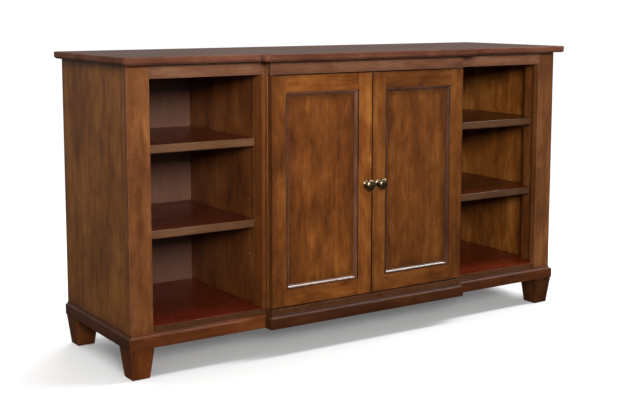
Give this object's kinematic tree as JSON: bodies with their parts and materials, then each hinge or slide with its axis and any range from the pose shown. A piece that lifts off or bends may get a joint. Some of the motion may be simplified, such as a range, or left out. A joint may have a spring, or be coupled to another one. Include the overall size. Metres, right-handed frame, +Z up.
{
  "type": "media console cabinet",
  "caption": "Wooden breakfront media console: a cupboard with panelled doors between open bays with adjustable shelves, on a moulded base with tapered feet.",
  "frame": {"origin": "on the floor, under the middle of the overall outline in plan", "axes": "+X to the object's right as seen from the front, +Y towards the back, +Z up; the doors face -Y"},
  "size_m": [1.63, 0.5431, 0.898],
  "materials": {
    "top_wood": "brown stain under satin lacquer",
    "side_wood": "brown stain under satin lacquer, vertical grain",
    "frame_wood": "brown stain under satin lacquer",
    "door_wood": "brown stain under satin lacquer",
    "inner_wood": "dark brown stain, satin",
    "shelf_wood": "brown stain under satin lacquer",
    "base_wood": "brown stain under satin lacquer",
    "back_board": "brown stained plywood, satin",
    "brass": "antique brass, aged",
    "catch_black": "matt black"
  },
  "bodies": {
    "carcass": {"back_left_foot": "base_wood", "back_right_foot": "base_wood", "base_back": "base_wood", "base_front_centre": "base_wood", "base_front_left": "base_wood", "base_front_right": "base_wood", "base_left": "base_wood", "base_right": "base_wood", "bottom_panel": "frame_wood", "centre_back_panel": "back_board", "centre_top_rail": "frame_wood", "door_catch": "catch_black", "front_left_foot": "base_wood", "front_right_foot": "base_wood", "left_back_panel": "back_board", "left_bottom_hinge_fixed_leaf": "brass", "left_centre_post": "frame_wood", "left_front_stile": "frame_wood", "left_partition": "inner_wood", "left_partition_lipping": "frame_wood", "left_pin_strip": "inner_wood", "left_side_panel": "side_wood", "left_top_hinge_fixed_leaf": "brass", "left_top_rail": "frame_wood", "right_back_panel": "back_board", "right_bottom_hinge_fixed_leaf": "brass", "right_centre_post": "frame_wood", "right_front_stile": "frame_wood", "right_partition": "inner_wood", "right_partition_lipping": "frame_wood", "right_pin_strip": "inner_wood", "right_side_panel": "side_wood", "right_top_hinge_fixed_leaf": "brass", "right_top_rail": "frame_wood", "top_panel": "top_wood"},
    "left_door": {"left_bottom_hinge_door_leaf": "brass", "left_door_bead": "door_wood", "left_door_bottom_rail": "door_wood", "left_door_hinge_stile": "door_wood", "left_door_knob": "brass", "left_door_meeting_stile": "door_wood", "left_door_panel": "door_wood", "left_door_top_rail": "door_wood", "left_strike_plate": "brass", "left_top_hinge_door_leaf": "brass"},
    "right_door": {"right_bottom_hinge_door_leaf": "brass", "right_door_bead": "door_wood", "right_door_bottom_rail": "door_wood", "right_door_hinge_stile": "door_wood", "right_door_knob": "brass", "right_door_meeting_stile": "door_wood", "right_door_panel": "door_wood", "right_door_top_rail": "door_wood", "right_strike_plate": "brass", "right_top_hinge_door_leaf": "brass"},
    "centre_shelf_loose": {"centre_shelf": "shelf_wood"},
    "left_lower_shelf_loose": {"left_lower_shelf": "shelf_wood"},
    "left_upper_shelf_loose": {"left_upper_shelf": "shelf_wood"},
    "right_lower_shelf_loose": {"right_lower_shelf": "shelf_wood"},
    "right_upper_shelf_loose": {"right_upper_shelf": "shelf_wood"}
  },
  "joints": [
    {"name": "left_door_hinge", "type": "hinge", "parent": "carcass", "child": "left_door", "pos_m": [-0.3543, -0.2295, 0.493], "axis": [0, 0, -1], "range_deg": [0, 110]},
    {"name": "right_door_hinge", "type": "hinge", "parent": "carcass", "child": "right_door", "pos_m": [0.3543, -0.2295, 0.493], "axis": [0, 0, 1], "range_deg": [0, 110]},
    {"name": "centre_shelf_lift", "type": "slide", "parent": "carcass", "child": "centre_shelf_loose", "axis": [0, 0, 1], "range_m": [0, 0.03]},
    {"name": "left_lower_shelf_lift", "type": "slide", "parent": "carcass", "child": "left_lower_shelf_loose", "axis": [0, 0, 1], "range_m": [0, 0.03]},
    {"name": "left_upper_shelf_lift", "type": "slide", "parent": "carcass", "child": "left_upper_shelf_loose", "axis": [0, 0, 1], "range_m": [0, 0.03]},
    {"name": "right_lower_shelf_lift", "type": "slide", "parent": "carcass", "child": "right_lower_shelf_loose", "axis": [0, 0, 1], "range_m": [0, 0.03]},
    {"name": "right_upper_shelf_lift", "type": "slide", "parent": "carcass", "child": "right_upper_shelf_loose", "axis": [0, 0, 1], "range_m": [0, 0.03]}
  ]
}
